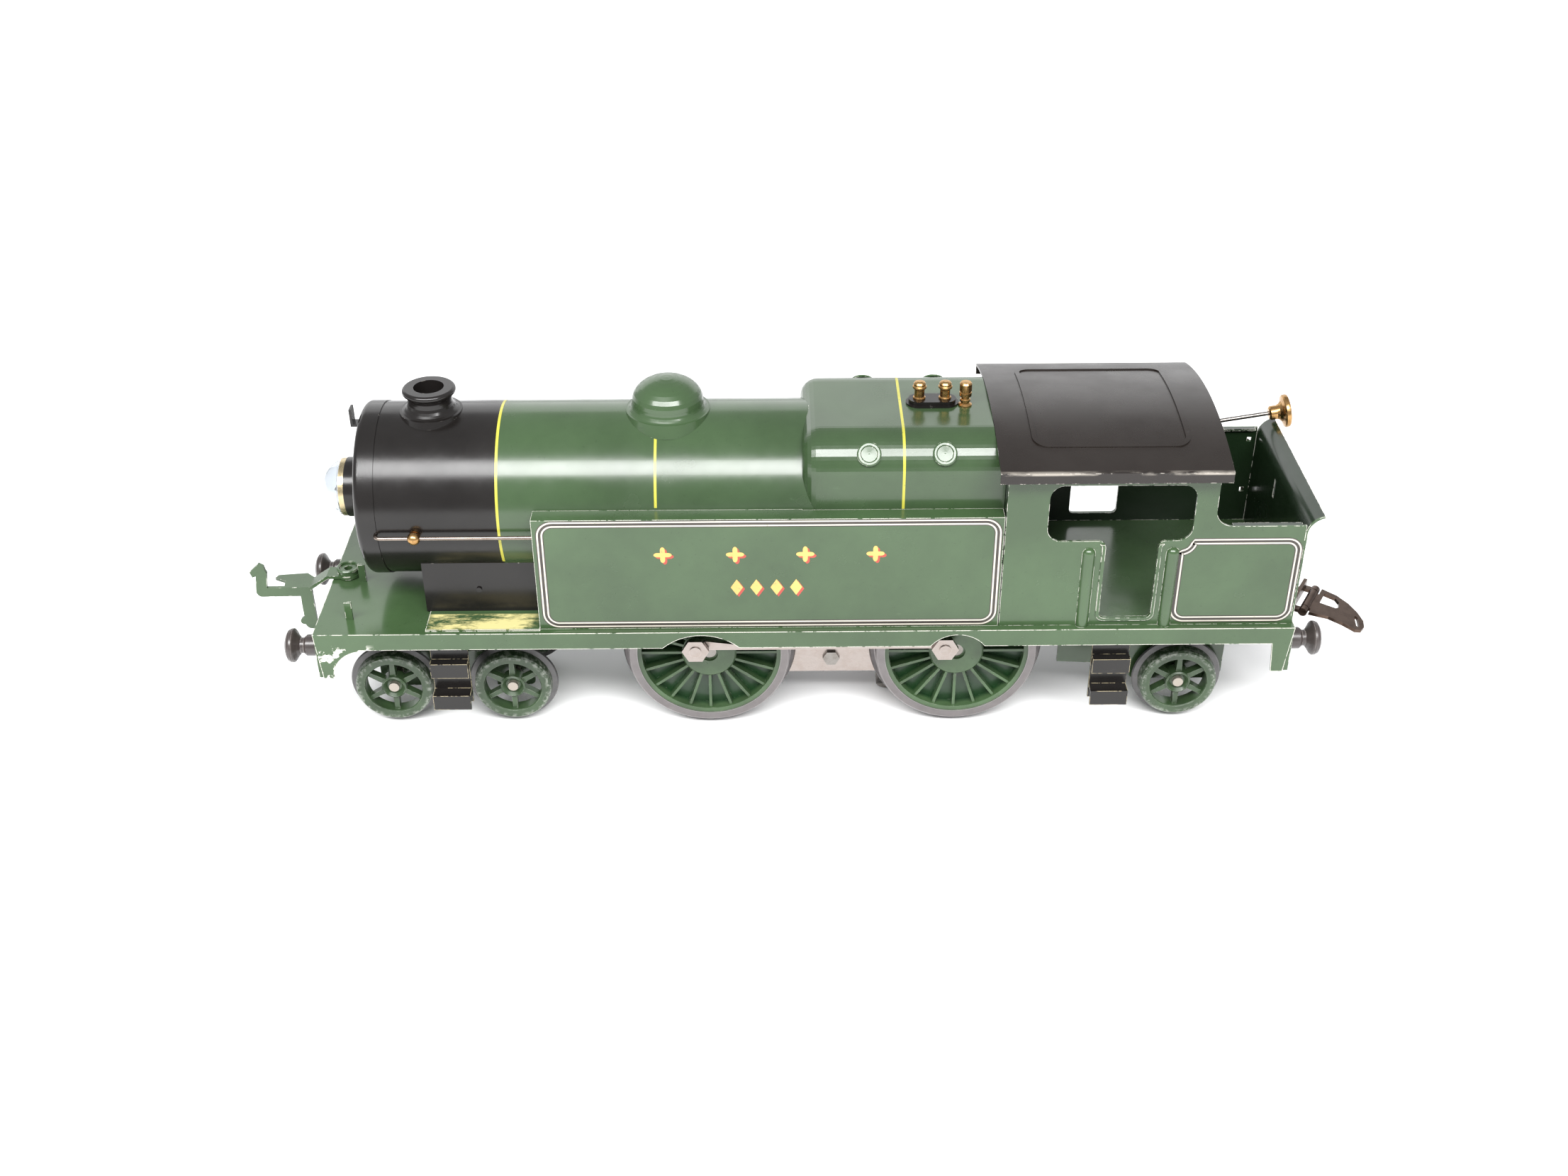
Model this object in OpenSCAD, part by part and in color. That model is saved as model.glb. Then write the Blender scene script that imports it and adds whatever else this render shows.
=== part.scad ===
/* [Size] */
// Length over the buffer faces
length_over_buffers = 298; // [294:0.5:302]
// Width over the footplate
footplate_width = 62.8; // [62:0.1:64]
// Height of the footplate top above the wheel flanges
footplate_z = 40.8; // [40.6:0.1:41.2]
// Thickness of the tinplate sheet
sheet = 0.6; // [0.5:0.05:0.7]

/* [Body] */
// Outer radius of the boiler barrel
boiler_r = 24.3; // [24:0.1:24.5]
// Height of the boiler axis
boiler_z = 70.7; // [70.4:0.1:71]
// Width over the side tanks and cab
body_width = 58.2; // [57.8:0.1:58.6]
// Height of the tank tops
tank_top = 76; // [75:0.1:76.5]
// Height of the firebox top
firebox_top = 96; // [95.6:0.1:96.2]
// Height of the roof crown
roof_crown = 97; // [96.8:0.1:98]
// Width over the roof eaves
roof_width = 67; // [66:0.1:68]

/* [Running gear] */
// Flange radius of the driving wheels
driver_flange_r = 25.2; // [25:0.1:25.2]
// Distance between the driving axles
wheelbase = 71.7; // [71:0.1:72]
// Flange radius of the bogie and pony wheels
small_flange_r = 13.05; // [13:0.05:13.2]
// Depth of the wheel flanges below the tread
flange_depth = 1.65; // [1.5:0.05:1.8]
// Throw of the crankpins
crank_throw = 5.3; // [5:0.1:5.6]
// Number of spokes in a driving wheel
driver_spokes = 20; // [16:1:20]
// Number of spokes in a bogie or pony wheel
small_spokes = 6; // [5:1:8]

/* [Motor] */
// Module of the motor gears
gear_module = 0.7; // [0.7]
// Teeth on the driving axle gear
axle_teeth = 36; // [36]
// Teeth on the idler gear
idler_teeth = 30; // [30]
// Teeth on the armature pinion
pinion_teeth = 12; // [12]
// Radial running clearance of the plain bearings
bearing_gap = 0.04; // [0.02:0.01:0.06]

/* [Hidden] */

// Smoothness of round surfaces, and of the children of a hull
$fn = 96;
hull_fn = 32;
// Overlap that keeps a cutting solid clear of the face that it cuts
cut = 0.5;
// Clearance between neighbouring pieces that don't touch
gap = 0.3;

// Distance from the row's origin to the middle between the buffer faces
frame_shift = 0.39;

// Footplate
plate_half = footplate_width / 2;
plate_end = length_over_buffers / 2 - 11.5;
plate_under = footplate_z - sheet;
valance_z = 35.5;
foot_z = 26;
well_front = 51;
well_rear = -66.5;
well_half = 21.5;
pad_front = 106;
pad_rear = 74;
pad_half = 29.9;
pad_top = footplate_z + 0.5;

// Buffers
buffer_y = 20.6;
buffer_z = 30.1;
beam_t = 1.2;

// Boiler, smokebox and firebox
barrel_t = 0.8;
smokebox_rear = 83.6;
smokebox_joint = 117;
smokebox_face = 122.8;
ring_r = boiler_r + 0.3;
boiler_rear = -4.5;
firebox_front = 0.5;
firebox_rear = -54.5;
firebox_half = 24.1;
shoulder_r = 10.5;
corner_r = 5;
firebox_base = 62;
lamp_face = 129;
lamp_r = 8.4;
chimney_x = 103.1;
dome_x = 37.4;
plug_x = [-17.5, -37.9];

// Handrails
handrail_y = 26.3;
handrail_z = 69;
handrail_wire = 1.1;

// Tanks, cab and bunker
tank_front = 74;
tank_rear = -54.3;
cab_front_x = -54.6;
cab_rear_x = -111.4;
bunker_x = -137;
bunker_top = 72.7;
body_half = body_width / 2;
window_z = [68.3, 85.6];
window_x = [-105.5, -66];
door_x = [-96.7, -82.3];
door_sill = 43.4;
rib_x = [-77.9, -100.9];

// Roof: an arc about an axis along the engine, with turned-down eaves
roof_half = roof_width / 2;
roof_r = 110;
roof_axis = roof_crown - roof_r;
roof_front = -51.7;
roof_rear = -113.4;
eave_lip = 3.1;

// Reversing rod, which rises toward the rear
rod_slope = 9.5;
rod_end = [-141.6, -27.3, 78.4];
rod_length = 99;
rod_d = 1.25;

// Wheels and axles
axle_z = driver_flange_r;
front_axle_x = 27.3;
rear_axle_x = front_axle_x - wheelbase;
small_z = small_flange_r;
bogie_x = 102.8;
bogie_axles = [120.3, 85.35];
pony_pivot_x = -71;
pony_x = -110.3;
wheel_back = 14;
driver_face = 19.9;
hub_face = 19.4;
driver_axle_d = 4;
small_axle_d = 3;
// Crank angle in the side view, measured from forward toward up
left_crank = 45;
right_crank = 135;
crank_d = 2.2;
rod_in = 20.6;
rod_out = 21.8;

// Motor
plate_in = 11.6;
plate_out = 12.6;
motor_base = 14;
motor_top = 56;
motor_gap = 22;
armature_x = (front_axle_x + rear_axle_x) / 2;
armature_z = 36;
shaft_d = 2;
stack_half = 7;
bore_r = 12.4;
limb_x = [-38, -32];
gear_y = [-10.9, -9.1];
stud_places = [[-30, 18.3], [-8.3, 19], [36, 46], [-52, 46]];

// The gear centres, and the idler's place from the two centre distances
mesh_axle = gear_module * (axle_teeth + idler_teeth) / 2;
mesh_pinion = gear_module * (idler_teeth + pinion_teeth) / 2;
gear_span = norm([front_axle_x - armature_x, axle_z - armature_z]);
span_angle = atan2(armature_z - axle_z, armature_x - front_axle_x);
idler_turn = acos((mesh_axle^2 + gear_span^2 - mesh_pinion^2) / (2 * mesh_axle * gear_span));
idler_angle = span_angle - idler_turn;
idler_x = front_axle_x + mesh_axle * cos(idler_angle);
idler_z = axle_z + mesh_axle * sin(idler_angle);
pinion_angle = atan2(armature_z - idler_z, armature_x - idler_x);
// Turn of each gear that puts a tooth of one into a gap of the next
idler_phase = idler_angle + 180 - 180 / idler_teeth;
idler_pitches = (pinion_angle - idler_phase) * idler_teeth / 360;
pinion_phase = pinion_angle + 180 + (idler_pitches - 0.5) * 360 / pinion_teeth;

// Collector shoe
shoe_x = [-47, -22];
shoe_z = 0.8;
shoe_stems = [-43.5, -25.5];
pickup_z = [14.2, 15.8];
brush_y = 9.1;

// Gear teeth: pressure angle, play at the pitch circle, height and depth in modules
pressure = 22;
backlash = 0.12;
addendum = 0.75;
dedendum = 1.15;

// Front coupling
front_pivot_x = 133.2;
front_pin_d = 3.6;
front_bar_top = footplate_z + 1.25;
front_bar_t = 0.9;

// Rear coupling and its link, with the hinge's barrel and pin
rear_pivot_x = -134.6;
rear_pin_d = 3;
rear_swing = -30;
rear_bar_t = 1;
link_droop = 9;
link_z = 34;
barrel_d = 2.6;
pin_d = 1.4;
hook_x = 15.8;
flange_x = 13;
lug_half = 7;
lug_in = 5;

// Places its children in the row's frame, from a point of the engine
module at(x = 0, y = 0, z = 0) {
    translate([x + frame_shift, y, z]) children();
}

// A side outline, drawn as x and z, between two distances from the middle plane
module slab_xz(y0, y1) {
    at(0, y1, 0) rotate([90, 0, 0]) linear_extrude(y1 - y0) children();
}

// A cross-section, drawn as y and z, between two places along the engine
module slab_yz(x0, x1) {
    at(x0, 0, 0) rotate([90, 0, 90]) linear_extrude(x1 - x0) children();
}

// A plan outline, drawn as x and y, between two heights
module slab_xy(z0, z1) {
    at(0, 0, z0) linear_extrude(z1 - z0) children();
}

// A round bar along the engine
module bar_x(x0, x1, y, z, d) {
    at(x0, y, z) rotate([0, 90, 0]) cylinder(h = x1 - x0, d = d);
}

// A round bar across the engine
module bar_y(y0, y1, x, z, d) {
    at(x, y0, z) rotate([-90, 0, 0]) cylinder(h = y1 - y0, d = d);
}

// An upright round bar
module bar_z(z0, z1, x, y, d) {
    at(x, y, z0) cylinder(h = z1 - z0, d = d);
}

// A flat box from one corner to the other
module block(from, to) {
    at(from[0], from[1], from[2]) cube(to - from);
}

// A rectangle from one corner to the other
module rect(from, to) {
    translate(from) square(to - from);
}

// A rectangle with four round corners
module round_rect(from, to, r) {
    rect([from[0] + r, from[1]], [to[0] - r, to[1]]);
    rect([from[0], from[1] + r], [to[0], to[1] - r]);
    for (x = [from[0] + r, to[0] - r], y = [from[1] + r, to[1] - r]) {
        translate([x, y]) circle(r);
    }
}

// A bar with round ends between two points of a drawing
module link(a, b, w) {
    run = b - a;
    for (p = [a, b]) translate(p) circle(d = w);
    translate(a) rotate(atan2(run[1], run[0])) translate([0, -w / 2]) square([norm(run), w]);
}

// Both sides of the engine, from a shape on its left
module both_sides() {
    children();
    mirror([0, 1, 0]) children();
}

// The outside of the boiler barrel between two places along the engine
module barrel(x0, x1, grow = 0) {
    bar_x(x0, x1, 0, boiler_z, 2 * (boiler_r + grow));
}

// Footplate: plate, side valances and end brackets folded from one sheet
module footplate_plan() {
    difference() {
        rect([-plate_end, -plate_half], [plate_end, plate_half]);
        round_rect([well_rear, -well_half], [well_front, well_half], 3);
    }
}

module arch(x, half, top) {
    r = (half^2 + (top - valance_z)^2) / (2 * (top - valance_z));
    translate([x, top - r]) circle(r);
}

module end_foot(sweep_r) {
    difference() {
        polygon([[0, footplate_z], [-1.3, foot_z], [-5, foot_z], [-12.3, valance_z], [-12.3, footplate_z]]);
        translate([-13.2, foot_z + 0.2]) circle(sweep_r);
    }
}

module valance_outline() {
    difference() {
        rect([-plate_end + 8, valance_z], [plate_end - 8, footplate_z]);
        arch(28.95, 10.75, 39.7);
        arch(-43.2, 7.6, 39.3);
    }
    translate([plate_end, 0]) end_foot(8.9);
    translate([-plate_end, 0]) {
        polygon([
            [0, footplate_z], [1.6, foot_z], [5, foot_z],
            [5.8, valance_z], [9, valance_z], [9, footplate_z]
        ]);
    }
}

module footplate() {
    color("darkgreen") {
        slab_xy(plate_under, footplate_z) footplate_plan();
        slab_xy(footplate_z, pad_top) {
            difference() {
                rect([pad_rear, -pad_half], [pad_front, pad_half]);
                rect([pad_rear + 5, -14], [pad_front - 5, 14]);
            }
        }
        both_sides() slab_xz(plate_half - sheet, plate_half) valance_outline();
    }
}

// A beam across one end of the footplate
module beam_outline() {
    rect([-plate_half + sheet, foot_z], [plate_half - sheet, plate_under]);
}

module front_buffer_beam() {
    color("darkgreen") slab_yz(plate_end - beam_t, plate_end) beam_outline();
}

// The rear beam has the slot that the rear coupling swings in
module rear_buffer_beam() {
    slot_half = 13;
    slot_z = [31.6, 36.4];
    color("darkgreen") {
        slab_yz(-plate_end, -plate_end + beam_t) {
            difference() {
                beam_outline();
                rect([-slot_half, slot_z[0]], [slot_half, slot_z[1]]);
            }
        }
    }
}

// One buffer: foot, shank, groove and domed head on one axis
module buffer() {
    reach = length_over_buffers / 2 - plate_end;
    rotate_extrude() {
        polygon([
            [0, 0], [3.6, 0], [3.6, 1.2], [3.1, 1.6], [3.1, 5], [2.7, 5.6], [2.3, 5.8],
            [2.3, 6.8], [2.7, 7.1], [3.3, 7.6], [4.6, 8.4], [4.95, 8.8], [4.95, 9.4],
            [4.6, 10.2], [3.6, 10.8], [2, 11.3], [0, reach]
        ]);
    }
}

module buffers() {
    color("dimgray") {
        for (end = [-1, 1], side = [-1, 1]) {
            at(end * plate_end, side * buffer_y, buffer_z) rotate([0, end * 90, 0]) buffer();
        }
    }
}

// Smokebox barrel and the round front with its lamp housing
module smokebox() {
    color("black") {
        difference() {
            barrel(smokebox_rear, smokebox_joint);
            barrel(smokebox_rear - cut, smokebox_joint + cut, -barrel_t);
        }
    }
}

module smokebox_front() {
    depth = smokebox_face - smokebox_joint;
    edge = 1.8;
    boss_r = 8.5;
    color("black") {
        at(smokebox_joint, 0, boiler_z) rotate([0, 90, 0]) rotate_extrude() {
            difference() {
                union() {
                    square([ring_r, depth - edge]);
                    square([ring_r - edge, depth]);
                    translate([ring_r - edge, depth - edge]) circle(edge);
                }
                square([ring_r - 1.2, depth - 1.2]);
                translate([0, depth - 2]) square([boss_r - 1.2, 3]);
            }
            translate([boss_r - 1.2, depth - 0.1]) square([1.2, lamp_face - smokebox_face + 0.1]);
        }
    }
}

module lamp_socket() {
    color("goldenrod") {
        at(lamp_face, 0, boiler_z) rotate([0, 90, 0]) rotate_extrude() {
            polygon([
                [0, -14], [3.4, -14], [3.4, -6], [7.2, -5.2], [7.2, 0], [8.3, 0],
                [8.3, 1.5], [7.5, 1.5], [7.5, 0.7], [6.6, 0.7], [6.6, -4.4], [0, -5.4]
            ]);
        }
    }
}

// Hollow glass globe of the lamp, with its neck inside the socket
module lamp_bulb() {
    depth = 8;
    color("lightyellow") {
        at(lamp_face, 0, boiler_z) rotate([0, 90, 0]) rotate_extrude() {
            difference() {
                union() {
                    intersection() {
                        translate([0, -0.5]) circle(lamp_r);
                        translate([0, 1.5]) square([lamp_r, depth]);
                    }
                    translate([0, -4]) square([6.4, 6]);
                }
                intersection() {
                    translate([0, -0.5]) circle(lamp_r - 0.6);
                    translate([0, 1.9]) square([lamp_r, depth]);
                }
                translate([0, -3.4]) square([5.8, 6]);
            }
        }
    }
}

// Brackets for head lamps: one over the smokebox door, three on the footplate
module lamp_irons() {
    iron_w = 3.4;
    color("darkgreen") {
        at(smokebox_face, -iron_w / 2, 90.6) cube([2.9, iron_w, 0.7]);
        at(smokebox_face + 2.2, -iron_w / 2, 90.6) cube([0.7, iron_w, 5.2]);
        for (y = [-23.5, 3.5, 23.5]) {
            at(127.4, y - 0.35, footplate_z) cube([2, 0.7, 5.8]);
        }
    }
}

// Boiler barrel: a full tube ahead of the tanks, open below between them
module boiler() {
    color("darkgreen") {
        difference() {
            barrel(boiler_rear, smokebox_rear);
            barrel(boiler_rear - cut, smokebox_rear + cut, -barrel_t);
            block([boiler_rear - 1, -30, 40], [pad_rear - 2, 30, firebox_base]);
        }
    }
}

// A concave flare from a wall of radius r0 out to r1 at the barrel's crown, and on down its sides
function flare(r0, r1) =
    let (crown = boiler_z + boiler_r, wide = r1 - r0, high = 1.3 * wide)
    [
        [r1 + 0.55 * wide, crown - 1.9 * wide],
        for (a = [0 : 15 : 90]) [r1 - wide * sin(a), crown + 0.25 + high * (1 - cos(a))]
    ];

// A turned fitting stands on the barrel and is cut to its surface
module on_barrel(x) {
    difference() {
        at(x, 0, 0) rotate_extrude() children();
        barrel(x - 20, x + 20, 0.02);
    }
}

module chimney() {
    lip_r = 7.4;
    lip_edge = 0.9;
    waist_r = 6.1;
    bore = 4.2;
    relief = 0.6;
    seat_z = 95.6;
    lip_z = 100.2;
    top = 102;
    color("black") {
        on_barrel(chimney_x) {
            polygon([
                [bore, seat_z], [bore + relief, seat_z], [bore + relief, 88],
                each flare(waist_r, 8.6), [waist_r, 99], [waist_r + 0.2, 99.5],
                [lip_r - lip_edge, lip_z], [lip_r - lip_edge, top], [bore, top]
            ]);
            translate([lip_r - lip_edge, (lip_z + top) / 2]) circle(lip_edge);
        }
    }
}

module dome() {
    body_r = 9.9;
    crown_z = 97.8;
    rise = 6.6;
    wall = 1;
    color("darkgreen") {
        on_barrel(dome_x) {
            polygon([
                [body_r - wall, 88],
                each flare(body_r, 11.65),
                for (a = [0 : 10 : 80]) [body_r * cos(a), crown_z + rise * sin(a)],
                [0, crown_z + rise],
                [0, crown_z + rise - wall],
                for (a = [75 : -15 : 0]) [(body_r - wall) * cos(a), crown_z + (rise - wall) * sin(a)]
            ]);
        }
    }
}

// Belpaire firebox: flat top, round shoulders and rounded front corners
module firebox_section(inset) {
    half = firebox_half - inset;
    top = firebox_top - inset;
    r = shoulder_r - inset;
    rect([-half, firebox_base], [half, top - r]);
    rect([-half + r, firebox_base], [half - r, top]);
    for (side = [-1, 1]) {
        translate([side * (half - r), top - r]) circle(r, $fn = 64);
    }
}

module firebox_shape(inset, rear) {
    r = corner_r - inset;
    hull() {
        slab_yz(rear, firebox_front - corner_r) firebox_section(inset);
        for (a = [15 : 15 : 90]) {
            x = firebox_front - corner_r + r * sin(a);
            slab_yz(x - 0.01, x) firebox_section(inset + r * (1 - cos(a)));
        }
    }
}

// The outside of the roof's underface, along the engine
module under_roof(x0, x1) {
    bar_x(x0, x1, 0, roof_axis, 2 * (roof_r - sheet));
}

module firebox() {
    color("darkgreen") {
        difference() {
            firebox_shape(0, firebox_rear);
            firebox_shape(barrel_t, firebox_rear - cut);
            barrel(boiler_rear - 1, firebox_front + 1, 0.02);
            block([firebox_rear - 1, -30, 40], [firebox_front + 1, 30, firebox_base + 0.01]);
            difference() {
                block([firebox_rear - 1, -30, 90], [roof_front + 0.1, 30, 100]);
                under_roof(firebox_rear - 2, roof_front + 1);
            }
        }
    }
}

// Four washout plugs square to the shoulders
module washout_plugs() {
    plug_angle = 36.7;
    color("darkgreen") {
        for (side = [-1, 1], x = plug_x) {
            at(x, side * (firebox_half - shoulder_r), firebox_top - shoulder_r) {
                rotate([-side * (90 - plug_angle), 0, 0]) rotate_extrude() {
                    polygon([
                        [0, shoulder_r], [3.3, shoulder_r], [3.3, shoulder_r + 0.5],
                        [2.9, shoulder_r + 0.8], [2.4, shoulder_r + 0.8],
                        [2.1, shoulder_r + 0.45], [0, shoulder_r + 0.35]
                    ]);
                }
            }
        }
    }
}

module safety_valve_base() {
    color("black") {
        slab_xy(firebox_top, firebox_top + 1.5) link([-32.1, 0], [-39.7, 0], 5.5);
        slab_xy(firebox_top, firebox_top + 0.5) link([-32.1, 0], [-39.7, 0], 7);
    }
}

module safety_valves() {
    foot = firebox_top + 1.5;
    color("goldenrod") {
        for (x = [-32.3, -39.4]) {
            at(x, 0, foot) rotate_extrude() {
                polygon([
                    [0, 0], [1.75, 0], [1.75, 0.4], [1.4, 0.7], [1.4, 2.7], [1.95, 3.3],
                    [1.95, 3.7], [1.65, 4], [1.7, 4.5], [1.4, 4.9], [0.6, 5.1], [0, 5.1]
                ]);
            }
        }
    }
}

module whistle() {
    color("goldenrod") {
        at(-44.9, 1.5, firebox_top) rotate_extrude() {
            polygon([
                [0, 0], [1.9, 0], [1.9, 0.4], [1.2, 0.9], [1.2, 1.2], [1.45, 1.4], [1.45, 1.9],
                [1.1, 2.2], [1.1, 2.5], [1.7, 3], [1.7, 4], [1.5, 4.15], [1.5, 4.4], [1.7, 4.55],
                [1.7, 6.6], [1.4, 7], [0, 7.1]
            ]);
        }
    }
}

// Side tank: outer wall, top ledge in to the boiler, and front wall
module side_tank_left() {
    color("darkgreen") {
        block([tank_rear, body_half - sheet, pad_top], [tank_front, body_half, tank_top]);
        difference() {
            union() {
                block([tank_rear, 22.5, tank_top - sheet], [tank_front, body_half, tank_top]);
                block([tank_front - sheet, 21.5, pad_top], [tank_front, body_half, tank_top]);
            }
            barrel(boiler_rear, tank_front + cut, 0.05);
            block([tank_rear - cut, 0, tank_top - 2], [firebox_front, firebox_half + 0.05, tank_top + 1]);
        }
        block([tank_rear, body_half - 2.4, footplate_z], [pad_rear - 0.01, body_half, pad_top]);
    }
}

module side_tank_right() {
    mirror([0, 1, 0]) side_tank_left();
}

// Cab side outline, as x and z, with the bunker side behind it
module cab_outline() {
    curve = 5;
    top = roof_axis + sqrt((roof_r - sheet)^2 - body_half^2) - 0.02;
    difference() {
        union() {
            rect([cab_rear_x, footplate_z], [cab_front_x, top]);
            rect([bunker_x + sheet, footplate_z], [cab_rear_x, bunker_top]);
            rect([cab_rear_x - curve, bunker_top - cut], [cab_rear_x, bunker_top + curve]);
        }
        translate([cab_rear_x - curve, bunker_top + curve]) circle(curve);
    }
}

// Window and door as one opening, with round lips where they meet
module cab_opening(grow) {
    lip = 2 - grow;
    low = [window_x[0] - grow, window_z[0] - grow];
    round_rect(low, [window_x[1] + grow, window_z[1] + grow], 4 + grow);
    round_rect([door_x[0] - grow, door_sill - grow], [door_x[1] + grow, window_z[0] + 6], 1.5 + grow);
    for (side = [0, 1]) {
        edge = door_x[side] + (side == 0 ? -grow : grow);
        centre = edge + (side == 0 ? -lip : lip);
        difference() {
            rect([min(edge, centre), low[1] - lip], [max(edge, centre), low[1] + 0.1]);
            translate([centre, low[1] - lip]) circle(lip);
        }
    }
}

// Half-round strengthening rib pressed out of the cab side
module cab_rib(x) {
    r = 1.8;
    top = 64.4;
    bar_z(footplate_z, top, x, 0, 2 * r);
    at(x, 0, top) sphere(r);
}

module cab_side_left() {
    lip_t = 0.5;
    color("darkgreen") {
        difference() {
            slab_xz(body_half - sheet, body_half) cab_outline();
            slab_xz(body_half - 1, body_half + 1) cab_opening(0);
        }
        slab_xz(body_half, body_half + lip_t) {
            difference() {
                intersection() {
                    cab_opening(0.9);
                    rect([door_x[0] - 3, door_sill - 2], [door_x[1] + 3, window_z[0] - 1]);
                }
                cab_opening(0);
            }
        }
        difference() {
            for (x = rib_x) translate([0, body_half - 0.3, 0]) cab_rib(x);
            block([bunker_x, 0, footplate_z - 2], [0, body_half - sheet + 0.1, tank_top]);
        }
        block([bunker_x + 1.5, body_half - 1.9, bunker_top - sheet], [cab_rear_x - 5, body_half, bunker_top]);
    }
}

// The right side has two tag holes near the bunker's rear edge
module cab_side_right() {
    tag_x = -134.3;
    tag_z = [68.6, 51.5];
    color("darkgreen") {
        difference() {
            mirror([0, 1, 0]) cab_side_left();
            for (z = tag_z) {
                block([tag_x - 0.6, -body_half - 1, z - 0.7], [tag_x + 0.6, -body_half + 1, z + 0.7]);
            }
            block([-126, -body_half + sheet + 0.1, bunker_top - 1], [-110, -20, bunker_top + 1]);
        }
    }
}

module cab_front() {
    color("darkgreen") {
        difference() {
            intersection() {
                slab_yz(cab_front_x - sheet, cab_front_x) {
                    rect([-body_half + sheet + 0.02, footplate_z], [body_half - sheet - 0.02, roof_crown]);
                }
                under_roof(cab_front_x - 2, cab_front_x + 2);
            }
            block(
                [cab_front_x - 2, -motor_gap, footplate_z - 1],
                [cab_front_x + 1, motor_gap, motor_top + 3]
            );
            reversing_axis() cylinder(h = rod_length + 10, d = rod_d + 2 * bearing_gap);
        }
    }
}

// Rear wall of the bunker, turned outward at the top
module bunker_rear() {
    curve = 5;
    curve_z = 70;
    tip_x = -141;
    slot_y = [-4.6, -3.4];
    color("darkgreen") {
        difference() {
            slab_xz(-body_half, body_half) {
                rect([bunker_x, footplate_z], [bunker_x + sheet, curve_z]);
                intersection() {
                    difference() {
                        translate([bunker_x - curve, curve_z]) circle(curve + sheet);
                        translate([bunker_x - curve, curve_z]) circle(curve);
                    }
                    rect([tip_x, curve_z], [bunker_x + sheet, curve_z + curve + sheet]);
                }
            }
            block([bunker_x - 1, slot_y[0], 62.7], [bunker_x + 2, slot_y[1], 68.3]);
        }
    }
}

// Roof sheet with eaves turned down and a raised bead round the top
module roof_arc(grow) {
    intersection() {
        translate([0, roof_axis]) circle(roof_r + grow, $fn = 360);
        rect([-roof_half, 80], [roof_half, roof_crown + 2]);
    }
}

module cab_roof() {
    bead_w = 1.3;
    bead_half = 24;
    bead_x = [-103.9, -61.2];
    bead_r = 4.5;
    eave = roof_axis + sqrt(roof_r^2 - roof_half^2);
    color("black") {
        slab_yz(roof_rear, roof_front) {
            difference() {
                roof_arc(0);
                roof_arc(-sheet);
                rect([-roof_half - 1, 79], [roof_half + 1, eave - 1]);
            }
            for (side = [-1, 1]) {
                edge = side * (roof_half - sheet / 2);
                rect([edge - sheet / 2, eave - eave_lip], [edge + sheet / 2, eave]);
            }
        }
        intersection() {
            slab_yz(roof_rear, roof_front) {
                difference() {
                    roof_arc(0.4);
                    roof_arc(-sheet / 2);
                }
            }
            slab_xy(90, roof_crown + 2) {
                difference() {
                    round_rect([bead_x[0], -bead_half], [bead_x[1], bead_half], bead_r);
                    round_rect(
                        [bead_x[0] + bead_w, -bead_half + bead_w],
                        [bead_x[1] - bead_w, bead_half - bead_w],
                        bead_r - bead_w
                    );
                }
            }
        }
    }
}

// Saddle between the footplate and the smokebox, open below
module saddle() {
    half = 20.3;
    wall = 0.8;
    rear = 75.5;
    front = 107;
    color("black") {
        difference() {
            block([rear, -half, pad_top], [front, half, 62]);
            block([rear + wall, -half + wall, pad_top - 1], [front - wall, half - wall, 63]);
            barrel(rear - 1, front + 1, 0.02);
        }
        both_sides() at(91.5, half, 48.6) rotate([-90, 0, 0]) cylinder(h = 0.5, r = 0.8, $fn = hull_fn);
    }
}

// Handrails along the smokebox, each with its front end turned in to the barrel
module handrails() {
    wire = handrail_wire;
    bend = 1.6;
    front = 117.4;
    color("silver") {
        both_sides() {
            bar_x(tank_front, front - bend, handrail_y, handrail_z, wire);
            at(front - bend, handrail_y - bend, handrail_z) {
                rotate_extrude(angle = 90) translate([bend, 0]) circle(d = wire);
            }
            difference() {
                bar_y(22, handrail_y - bend, front, handrail_z, wire);
                bar_x(front - 3, front + 3, 0, boiler_z, 2 * ring_r);
            }
        }
    }
}

// Ball knob on a collared stem, turned as one piece and drilled for the wire
module handrail_knobs() {
    ball_r = 1.8;
    stem = 0.8;
    foot_y = 23;
    knob_x = 106.6;
    reach = handrail_y - foot_y;
    color("goldenrod") {
        both_sides() {
            difference() {
                at(knob_x, foot_y, handrail_z) rotate([-90, 0, 0]) rotate_extrude() {
                    square([stem, reach]);
                    square([1.5, 2]);
                    intersection() {
                        translate([0, reach]) circle(ball_r);
                        translate([0, reach - ball_r]) square([ball_r, 2 * ball_r]);
                    }
                }
                barrel(knob_x - 3, knob_x + 3, 0.01);
                bar_x(knob_x - 3, knob_x + 3, handrail_y, handrail_z, handrail_wire);
            }
        }
    }
}

// A hanging step: back strip and two treads with turned-down lips
module step_outline() {
    back = 25.6;
    tread = 0.8;
    reach = [29.2, 30.4];
    top = [28.9, 18.7];
    lip = 4.8;
    rect([back, top[1] - lip], [back + tread, plate_under]);
    for (i = [0, 1]) {
        rect([back, top[i] - tread], [reach[i], top[i]]);
        rect([reach[i] - tread, top[i] - lip], [reach[i], top[i]]);
    }
}

module steps_at(x) {
    half = 5.35;
    color("black") both_sides() slab_yz(x - half, x + half) step_outline();
}

module front_steps() {
    steps_at(101);
}

module rear_steps() {
    steps_at(-87.6);
}

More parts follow.
